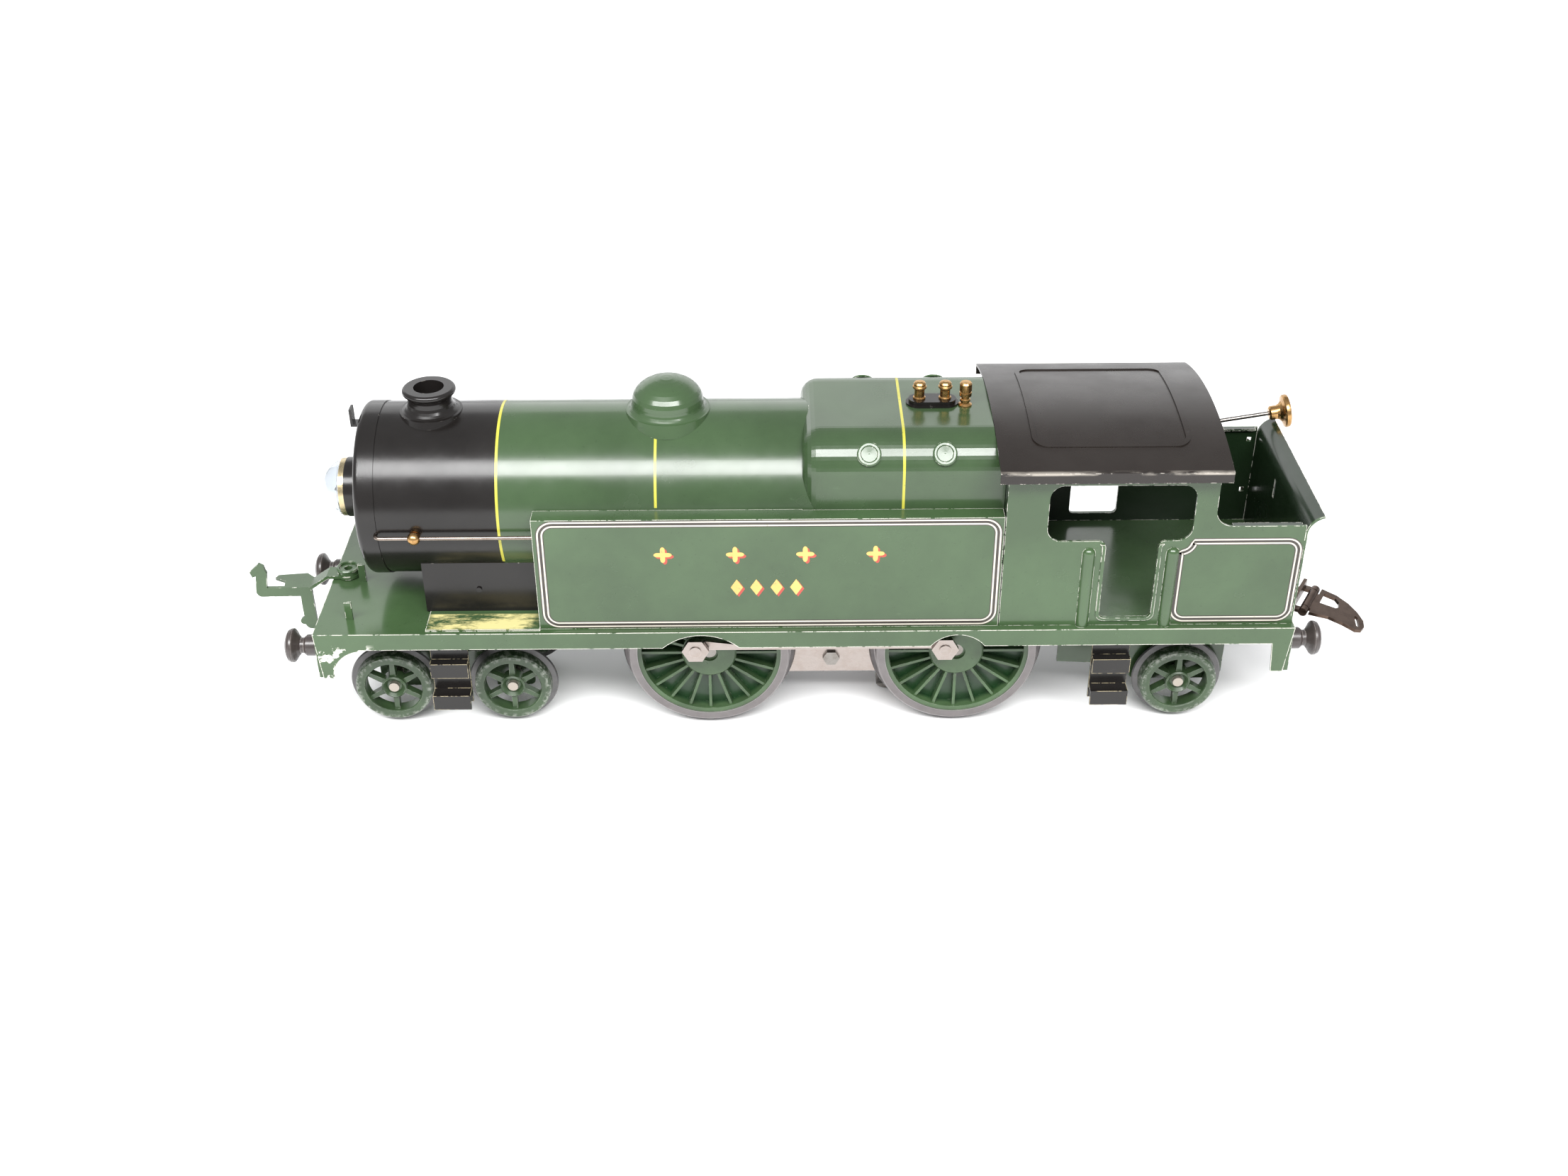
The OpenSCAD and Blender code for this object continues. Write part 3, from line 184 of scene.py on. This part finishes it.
def enamel(
    name, colour, rough=(0.16, 0.3), chips=0.5, chip=CHIP, reach=0.3, amount=0.16, extra=None,
    coat=0.14, gloss=0.5, chips_below=None,
):
    """Gloss enamel on tinplate: clouding, orange peel, small scuffs, and light chips along edges:
    bare tin, and on the tanks and roof also a painted highlight.
    extra adds a paint's own marks and painted light, and chips_below is the height that its chips
    stay under."""
    p = Paint(name, Coat_Weight=coat, Coat_Roughness=0.08, Specular_IOR_Level=gloss)
    base = p.clouded(colour, amount)
    scuff = p.span(p.noise(7, 6, 0.75, (1, 1, 0.35)), 0.66, 0.72, 0.0, 0.25)
    base = p.mix(scuff, base, tuple(min(1, c * 1.8 + 0.02) for c in colour))
    if extra:
        base = extra(p, base)
    # Light chips on edges: bare tin, and where they are many, as on the tanks, also a painted
    # highlight along the edges.
    broken = p.span(p.noise(2.6, 5, 0.7), 0.72 - 0.36 * chips, 0.76 - 0.36 * chips)
    bare = p.math("MULTIPLY", p.edge(reach), broken)
    if chips_below:
        bare = p.math("MULTIPLY", bare, p.inside(2, -10, chips_below, 0.5))
    p.set("Base Color", p.mix(bare, base, chip))
    p.set("Roughness", p.span(p.noise(15, 5), 0.3, 0.7, *rough))
    p.orange_peel()
    return p.mat


def metal(name, colour, rough=(0.2, 0.38), tarnish=(0.3, 0.27, 0.24), share=0.5, grain=(1, 1, 1)):
    """Bare or plated metal: fine grain, duller and darker in patches, brighter on its edges."""
    p = Paint(name, Metallic=1.0)
    dull = p.span(p.noise(4, 6, 0.7), 0.45, 0.75, 0.0, share)
    shade = p.mix(dull, colour, tuple(c * t for c, t in zip(colour, tarnish)))
    bright = tuple(min(1, c * 1.25) for c in colour)
    p.set("Base Color", p.mix(p.edge(0.25), shade, bright))
    p.set("Roughness", p.span(p.noise(0.7, 3, 0.6, grain), 0.3, 0.7, *rough))
    p.bump(p.noise(0.5, 2, 0.5, grain), 0.08)
    return p.mat


GREEN = (0.032, 0.062, 0.024)
BLACK = (0.0065, 0.0055, 0.005)


def warm_reflection_and_flaking(p, base):
    """A painted warm reflection in broken patches on the footplate beside the saddle, and flaked
    paint on the feet in front.
    """
    along = p.inside(0, 76, 106, 1.2)
    near = p.math("MULTIPLY", p.inside(1, 22, 29.7), p.inside(2, 41.0, 42.0, 0.1))
    broken = p.span(p.noise(5, 5, 0.7, (2.5, 1, 1)), 0.42, 0.56)
    share = p.math("MULTIPLY", p.math("MULTIPLY", along, near), broken)
    # The yellow patches are a painted reflection of warm light on the gloss.
    base = p.mix(share, base, (0.5, 0.45, 0.2))
    foot = p.math("MULTIPLY", p.inside(0, 122, 140, 1), p.inside(2, 20, 36, 1.5))
    flaked = p.span(p.noise(5, 5, 0.65), 0.55, 0.57)
    return p.mix(p.math("MULTIPLY", foot, flaked), base, CHIP)


def painted_shade_inside(p, base):
    """Painted shade, a near-black green, everywhere between the side walls: on the faces that look
    into the cab and bunker, and on the outer faces of the cab front and the bunker's rear as well."""
    share = p.math("MULTIPLY", p.inside(1, -WALL_INSIDE, WALL_INSIDE, 0.04), p.inside(2, 40, 93, 0.3))
    return p.mix(share, base, (0.007, 0.015, 0.0065))


def eave_highlight_and_wear(p, base):
    """A painted highlight, broken up with paint rubbed to bright tin, where the roof bends down to
    the cab sides.
    """
    bend = p.inside(2, 91.2, 91.9, 0.2)
    sides = p.math("SUBTRACT", 1.0, p.inside(1, -WALL_INSIDE, WALL_INSIDE, 0.2))
    whole = p.span(p.noise(4, 5, 0.6, (4, 1, 1)), 0.42, 0.56, 0.0, 0.8)
    share = p.math("MULTIPLY", p.math("MULTIPLY", bend, sides), whole)
    return p.mix(share, base, (0.34, 0.31, 0.27))


green = enamel("green_enamel", GREEN)
# A darker copy of the green for the boiler, dome and firebox: painted shade, as they get less light
# than the tanks.
green_body_shaded = enamel("green_enamel_body_shaded", tuple(c * 0.82 for c in GREEN), chips=0.25, reach=0.22)
# The tanks' many light edge chips are both wear and a painted highlight along the tank tops.
green_tank = enamel("green_enamel_tank", GREEN, chips=0.9, reach=0.25)
green_cab = enamel("green_enamel_cab", GREEN, chips=0.7, reach=0.25, extra=painted_shade_inside)
green_plate = enamel("green_enamel_footplate", GREEN, chips=0.85, reach=0.4, extra=warm_reflection_and_flaking)
green_inner = enamel("green_enamel_frames", tuple(c * 0.8 for c in GREEN), chips=0.4)
black = enamel(
    "black_enamel", BLACK, rough=(0.16, 0.27), chips=0.3, chip=(0.3, 0.28, 0.25), coat=0.0, gloss=0.36
)
black_steps = enamel(
    "black_enamel_steps", BLACK, chips=0.75, chip=(0.55, 0.47, 0.3), reach=0.25, coat=0.0, gloss=0.4
)
roof = enamel(
    "roof_enamel", (0.012, 0.009, 0.0075), rough=(0.22, 0.36), chips=0.5, chip=(0.6, 0.56, 0.5),
    amount=0.14, extra=eave_highlight_and_wear, coat=0.0, gloss=0.38, chips_below=92.6,
)
worn_iron = enamel(
    "buffer_enamel", (0.035, 0.028, 0.026), rough=(0.25, 0.42), chips=0.75, chip=(0.42, 0.38, 0.35)
)
bronze = metal("bronze_finish", (0.1, 0.07, 0.055), (0.28, 0.45), (0.4, 0.35, 0.32), 0.7)
nickel = metal("nickel_plate", (0.33, 0.29, 0.27), (0.24, 0.36), (0.7, 0.6, 0.52), 0.4, (6, 1, 1))
rail = metal("rail_plate", (0.24, 0.2, 0.175), (0.22, 0.36), (0.45, 0.36, 0.3), 0.6, (6, 1, 1))
steel = metal("turned_steel", (0.24, 0.225, 0.21), (0.22, 0.4), (0.45, 0.38, 0.32), 0.6)
brass = metal("brass", (0.42, 0.25, 0.1), (0.18, 0.34), (0.45, 0.34, 0.25), 0.6)
collar = metal("lamp_collar", (0.5, 0.42, 0.26), (0.2, 0.34), (0.6, 0.5, 0.42), 0.4)
iron = metal("core_iron", (0.2, 0.19, 0.19), (0.4, 0.6), (0.5, 0.35, 0.25), 0.6, (1, 0.12, 1))
winding = metal("winding_enamel", (0.36, 0.1, 0.05), (0.25, 0.4), (0.5, 0.4, 0.4), 0.6, (1, 1, 0.1))
fibre = enamel("insulation", (0.11, 0.05, 0.025), rough=(0.5, 0.7), chips=0.1, chip=(0.3, 0.2, 0.12))


def driver_paint(name, x, z):
    """Green casting with painted shade on the sunk web between its spokes, a bare grey tyre and a
    dirty flange.
    """
    p = Paint(name, Coat_Weight=0.1)
    r = p.radius(x, z)
    body = p.clouded(tuple(c * 1.1 for c in GREEN), 0.25, 12)
    side = p.math("MULTIPLY", p.math("ABSOLUTE", p.axes()[1]), 1000.0)
    # Painted shade on the web between the spokes
    spoke_web_shade = p.math("MULTIPLY", p.span(side, 16.1, 17.6, 1.0, 0.0), p.past(r, HUB_R, 0.1))
    body = p.mix(spoke_web_shade, body, (0.008, 0.034, 0.009))
    tyre = p.mix(p.noise(3, 5), (0.13, 0.12, 0.12), (0.2, 0.185, 0.185))
    tyre = p.mix(p.edge(0.3), tyre, (0.4, 0.38, 0.38))
    flange = p.mix(p.noise(2, 5), (0.05, 0.047, 0.047), (0.11, 0.1, 0.1))
    bare = p.past(r, TYRE_R, 0.05)
    edge = p.math("MULTIPLY", p.edge(0.2), p.span(p.noise(2, 5, 0.7), 0.55, 0.62))
    body = p.mix(edge, body, (0.2, 0.22, 0.17))
    colour = p.mix(bare, body, tyre)
    p.set("Base Color", p.mix(p.past(r, FLANGE_R, 0.1), colour, flange))
    p.set("Metallic", bare)
    p.set("Roughness", p.span(p.noise(5, 4), 0.3, 0.7, 0.26, 0.42))
    p.orange_peel(0.2)
    return p.mat


def small_wheel_paint(name, x, z):
    """Green casting with its paint worn off the rim, a dark tread and a bright axle end."""
    p = Paint(name, Coat_Weight=0.1)
    r = p.radius(x, z)
    body = p.clouded(tuple(c * 0.72 for c in GREEN), 0.25, 10)
    patches = p.span(p.noise(1.3, 5, 0.7), 0.48, 0.58, 0.0, 0.8)
    rim = p.math("MULTIPLY", p.past(r, SMALL_RIM_R, 0.5), patches)
    bare = p.mix(p.noise(1.5, 5), (0.12, 0.14, 0.11), (0.26, 0.27, 0.24))
    colour = p.mix(rim, body, bare)
    edge = p.math("MULTIPLY", p.edge(0.22), p.span(p.noise(2, 5, 0.7), 0.45, 0.55))
    colour = p.mix(edge, colour, (0.22, 0.25, 0.2))
    tread = p.mix(p.noise(2, 5), (0.05, 0.05, 0.05), (0.13, 0.125, 0.125))
    colour = p.mix(p.past(r, SMALL_TREAD_R, 0.1), colour, tread)
    end = p.past(r, AXLE_END_R, 0.075, 1.0, 0.0)
    p.set("Base Color", p.mix(end, colour, (0.36, 0.32, 0.28)))
    p.set("Metallic", p.math("MAXIMUM", end, p.past(r, SMALL_TREAD_R, 0.1, 0.0, 0.6)))
    p.set("Roughness", p.span(p.noise(4, 4), 0.3, 0.7, 0.28, 0.48))
    p.orange_peel(0.2)
    return p.mat


def glass(name):
    """Clear blown glass with slight ripples."""
    p = Paint(name, Transmission_Weight=0.95, IOR=1.5)
    p.set("Base Color", p.mix(p.noise(6, 3), (0.66, 0.7, 0.74), (0.82, 0.84, 0.86)))
    p.set("Roughness", p.span(p.noise(3, 4), 0.3, 0.7, 0.02, 0.06))
    p.bump(p.noise(2.5, 3), 0.1)
    return p.mat


def ink(name, colour, fade):
    """Printed line: slightly uneven, rubbed through in places."""
    p = Paint(name, Coat_Weight=0.2)
    worn = p.span(p.noise(1.6, 5, 0.75), 0.62, 0.7, 0.0, 0.8)
    p.set("Base Color", p.mix(worn, p.clouded(colour, 0.1, 20), fade))
    p.set("Roughness", p.span(p.noise(4, 4), 0.3, 0.7, 0.32, 0.44))
    return p.mat


cream = ink("lining_cream", (0.46, 0.43, 0.37), (0.2, 0.2, 0.15))
umber = ink("lining_umber", (0.022, 0.016, 0.012), GREEN)
yellow = ink("band_yellow", (0.36, 0.34, 0.035), (0.1, 0.12, 0.03))
gold = ink("ornament_gold", (0.5, 0.32, 0.085), (0.22, 0.17, 0.07))
crimson = ink("ornament_crimson", (0.3, 0.035, 0.02), GREEN)

groups = {
    green: ["lamp_irons", "washout_plugs", "front_coupling", "front_buffer_beam", "rear_buffer_beam"],
    green_body_shaded: ["boiler", "dome", "firebox"],
    green_tank: ["side_tank_left", "side_tank_right"],
    green_cab: ["cab_front", "cab_side_left", "cab_side_right", "bunker_rear"],
    green_plate: ["footplate"],
    green_inner: ["bogie_frame", "pony_frame"],
    black: ["smokebox", "smokebox_front", "chimney", "safety_valve_base", "saddle"],
    black_steps: ["front_steps", "rear_steps"],
    roof: ["cab_roof"],
    worn_iron: ["buffers"],
    bronze: ["rear_coupling", "rear_link"],
    rail: ["handrails"],
    nickel: [
        "motor_plate_left", "motor_plate_right", "coupling_rod_left", "coupling_rod_right",
        "front_crankpins", "rear_crankpins",
    ],
    collar: ["lamp_socket"],
    steel: [
        "motor_studs", "truck_pivots", "front_driving_axle", "rear_driving_axle", "collector_shoe",
    ],
    brass: [
        "safety_valves", "whistle", "handrail_knobs", "drive_gear", "idler_gear", "brush_holders",
        "reversing_rod",
    ],
    iron: ["field_magnet", "armature"],
    winding: ["field_coil"],
    fibre: ["pickup_plate"],
    glass("lamp_glass"): ["lamp_bulb"],
}
for end, (x, z) in DRIVERS.items():
    wheels = [f"{end}_driving_wheel_left", f"{end}_driving_wheel_right"]
    groups[driver_paint(f"{end}_wheel_enamel", x, z)] = wheels
for name, (x, z) in SMALL_WHEELS.items():
    groups[small_wheel_paint(name + "_enamel", x, z)] = [name]

for mat, names in groups.items():
    for name in names:
        slots = nodes[name].data.materials
        slots.clear()
        slots.append(mat)


def repaint(name, mat, chosen):
    """Gives part of a piece, chosen by where a face lies, a second finish."""
    mesh = nodes[name].data
    mesh.materials.append(mat)
    place = nodes[name].matrix_world
    for face in mesh.polygons:
        x, y, z = (place @ face.center) * 1000
        if chosen(x - SHIFT, y, z):
            face.material_index = 1


# The iron on the smokebox, the rod ahead of its knob, and the rivet of the front coupling
repaint("lamp_irons", black, lambda x, y, z: z > 80)
repaint("reversing_rod", steel, lambda x, y, z: x > -137.5)
repaint("truck_pivots", green, lambda x, y, z: x > 128)


# Lining, bands and ornament ---------------------------------------------------


def piece(name, corners, faces, mat):
    """A printed shape that rides on the body of the engine."""
    mesh = bpy.data.meshes.new(name)
    mesh.from_pydata(corners, [], faces)
    mesh.materials.append(mat)
    obj = bpy.data.objects.new(name, mesh)
    bpy.context.scene.collection.objects.link(obj)
    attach(obj, "chassis")


def arc(centre, r, a0, a1, steps=10):
    """Points of an arc between two angles in degrees."""
    angles = [math.radians(a0 + (a1 - a0) * i / steps) for i in range(steps + 1)]
    return [Vector((centre[0] + r * math.cos(a), centre[1] + r * math.sin(a))) for a in angles]


def round_panel(x0, x1, z0, z1, r):
    """Closed outline with round corners, counter-clockwise from the lower right."""
    return (
        arc((x1 - r, z0 + r), r, -90, 0) + arc((x1 - r, z1 - r), r, 0, 90)
        + arc((x0 + r, z1 - r), r, 90, 180) + arc((x0 + r, z0 + r), r, 180, 270)
    )


def scooped_panel(x0, x1, z0, z1, r, scoop):
    """The same with a hollow corner at the upper front."""
    return (
        arc((x1 - r, z0 + r), r, -90, 0) + arc((x1, z1), scoop, 270, 180)
        + arc((x0 + r, z1 - r), r, 90, 180) + arc((x0 + r, z0 + r), r, 180, 270)
    )


def line(name, path, offset, width, side, lift, mat):
    """A closed printed line on a side of the body, beside a path drawn as x and z. Lifts are small
    heights above the paint, so that one print covers another."""
    corners, faces, n = [], [], len(path)
    for i, p in enumerate(path):
        along = path[(i + 1) % n] - path[i - 1]
        out = Vector((along.y, -along.x)).normalized()
        for w in (offset - width / 2, offset + width / 2):
            q = p + out * w
            corners.append(metres(q.x, side * (BODY_HALF + lift), q.y))
    for i in range(n):
        a, b = 2 * i, 2 * ((i + 1) % n)
        face = (a, b, b + 1, a + 1)
        faces.append(face if side > 0 else face[::-1])
    piece(name, corners, faces, mat)


PANELS = {
    "tank": round_panel(-52.8, 71.9, 42.2, 74.7, 3.6),
    "bunker": scooped_panel(-135.3, -103, 42.6, 67.9, 3.2, 3.4),
}
EDGE_WIDTH, LINE_WIDTH, LINE_OFFSET = 2.2, 0.45, 0.6
for side, hand in SIDES:
    for place, path in PANELS.items():
        line(f"{place}_lining_edge_{hand}", path, 0, EDGE_WIDTH, side, 0.015, umber)
        line(f"{place}_lining_outer_{hand}", path, LINE_OFFSET, LINE_WIDTH, side, 0.03, cream)
        line(f"{place}_lining_inner_{hand}", path, -LINE_OFFSET, LINE_WIDTH, side, 0.03, cream)


BAND_WIDTH, BAND_LIFT = 0.75, 0.03


def band(name, x, section):
    """A printed band round the boiler or firebox at one place along it."""
    corners = [metres(x + w * BAND_WIDTH / 2, y, z) for y, z in section for w in (-1, 1)]
    faces = [(2 * i, 2 * i + 2, 2 * i + 3, 2 * i + 1) for i in range(len(section) - 1)]
    piece(name, corners, faces, yellow)


def barrel_section(reach, steps=96):
    """The barrel's outline to an angle on each side of its crown."""
    r = BOILER_R + BAND_LIFT
    angles = [math.radians(-reach + 2 * reach * i / steps) for i in range(steps + 1)]
    return [(r * math.sin(a), BOILER_Z + r * math.cos(a)) for a in angles]


def firebox_section():
    """The firebox's outline from the top of one side tank to the other."""
    r = SHOULDER_R + BAND_LIFT
    y, z = FIREBOX_HALF - SHOULDER_R, FIREBOX_TOP - SHOULDER_R
    left = [(FIREBOX_HALF + BAND_LIFT, TANK_TOP)] + [tuple(p) for p in arc((y, z), r, 0, 90, 24)]
    return left + [(-a, b) for a, b in reversed(left)]


band("band_smokebox", 83.6, barrel_section(121))
band("band_boiler", 40.4, barrel_section(76))
band("band_firebox", -27, firebox_section())


def bloom(r, lobes, depth, steps=72):
    """A lobed flower outline."""
    shape = []
    for i in range(steps):
        a = 2 * math.pi * i / steps
        k = r * (1 - depth + depth * math.cos(lobes * a))
        shape.append(Vector((k * math.cos(a), k * math.sin(a))))
    return shape


def diamond(w, h):
    return [Vector((w, 0)), Vector((0, h)), Vector((-w, 0)), Vector((0, -h))]


def motif(name, x, z, shape, side, lift, mat):
    """A filled printed shape on a side of the body."""
    corners = [metres(x, side * (BODY_HALF + lift), z)]
    corners += [metres(x + p.x, side * (BODY_HALF + lift), z + p.y) for p in shape]
    n = len(shape)
    faces = [(0, 1 + i, 1 + (i + 1) % n) for i in range(n)]
    piece(name, corners, [f[::-1] for f in faces] if side > 0 else faces, mat)


# A row of four plain rosettes over a row of small diamonds, each with a shade below and beside it
ORNAMENT = {
    "rosette": ((38.7, 18.9, -0.3, -19.5), 64.9, bloom(2.5, 4, 0.3)),
    "diamond": ((18.6, 13.2, 7.6, 2.2), 54.25, diamond(1.7, 2.6)),
}
SHADE = 0.55
for side, hand in SIDES:
    for kind, (row, z, shape) in ORNAMENT.items():
        for i, x in enumerate(row):
            shade_x = x - SHADE * side
            motif(f"{kind}_shade_{i}_{hand}", shade_x, z - SHADE, shape, side, 0.02, crimson)
            motif(f"{kind}_{i}_{hand}", x, z, shape, side, 0.035, gold)


# Filament of the lamp, on two supports ------------------------------------------


def wire(name, points, radius_mm, mat):
    """A round wire through a row of points."""
    curve = bpy.data.curves.new(name, "CURVE")
    curve.dimensions = "3D"
    curve.bevel_depth = radius_mm / 1000
    curve.bevel_resolution = 3
    spline = curve.splines.new("POLY")
    spline.points.add(len(points) - 1)
    for target, p in zip(spline.points, points):
        target.co = (*metres(*p), 1)
    curve.materials.append(mat)
    obj = bpy.data.objects.new(name, curve)
    bpy.context.scene.collection.objects.link(obj)
    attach(obj, "chassis")


COIL_R, COIL_HALF, COIL_STEPS, COIL_TURN = 0.35, 2, 60, 0.9
coil = [
    (
        FILAMENT_X + COIL_R * math.cos(i * COIL_TURN),
        COIL_HALF * (2 * i / COIL_STEPS - 1),
        BOILER_Z + COIL_R * math.sin(i * COIL_TURN),
    )
    for i in range(COIL_STEPS + 1)
]
feet = [(LAMP_SOCKET_X, y, BOILER_Z) for y in (-COIL_HALF, COIL_HALF)]
wire("lamp_filament", [feet[0], *coil, feet[1]], 0.1, steel)


# Floor, light and camera ------------------------------------------------------

floor_paint = Paint("paper_floor")
tint = floor_paint.mix(floor_paint.noise(60, 3), (0.9, 0.9, 0.9), (0.93, 0.93, 0.93))
floor_paint.set("Base Color", tint)
floor_paint.set("Roughness", 0.6)
floor_mesh = bpy.data.meshes.new("floor")
FLOOR = 4
floor_mesh.from_pydata(
    [(-FLOOR, -FLOOR, 0), (FLOOR, -FLOOR, 0), (FLOOR, FLOOR, 0), (-FLOOR, FLOOR, 0)],
    [], [(0, 1, 2, 3)],
)
floor_mesh.materials.append(floor_paint.mat)
floor = bpy.data.objects.new("floor", floor_mesh)
bpy.context.scene.collection.objects.link(floor)

world = bpy.data.worlds.new("room")
world.use_nodes = True
background = world.node_tree.nodes["Background"]
background.inputs["Color"].default_value = (0.97, 0.98, 1, 1)
background.inputs["Strength"].default_value = 0.62
bpy.context.scene.world = world


def softbox(name, at, size, power):
    """A rectangular lamp, in metres and watts, turned towards the engine's middle."""
    data = bpy.data.lights.new(name, "AREA")
    data.shape = "RECTANGLE"
    data.size, data.size_y = size
    data.energy = power
    lamp = bpy.data.objects.new(name, data)
    lamp.location = at
    lamp.rotation_mode = "QUATERNION"
    lamp.rotation_quaternion = (Vector((0, 0, 0.05)) - Vector(at)).to_track_quat("-Z", "Y")
    bpy.context.scene.collection.objects.link(lamp)


softbox("overhead", (0.1, 0.79, 1.04), (1.9, 0.42), 50)
softbox("back_card", (0, -1.2, 0.5), (2.5, 0.8), 7.5)

bpy.context.scene.view_settings.view_transform = "Standard"

# The camera's place in millimetres of the engine, its direction, and its roll in degrees
CAMERA_AT = (7.575, 440.62, 319.05)
CAMERA_LOOK = (-0.004105, -0.840624, -0.541604)
CAMERA_ROLL = -0.278
look = Vector(CAMERA_LOOK).normalized()
right = look.cross(Vector((0, 0, 1))).normalized()
up = right.cross(look)
roll = math.radians(CAMERA_ROLL)
right, up = (
    right * math.cos(roll) + up * math.sin(roll),
    up * math.cos(roll) - right * math.sin(roll),
)
data = bpy.data.cameras.new("camera")
data.sensor_fit = "HORIZONTAL"
data.sensor_width = 36
data.lens = 40.64
data.clip_start = 0.01
camera = bpy.data.objects.new("camera", data)
turn = Matrix((right, up, -look)).transposed().to_4x4()
camera.matrix_world = Matrix.Translation(metres(*CAMERA_AT)) @ turn
bpy.context.scene.collection.objects.link(camera)
bpy.context.scene.camera = camera
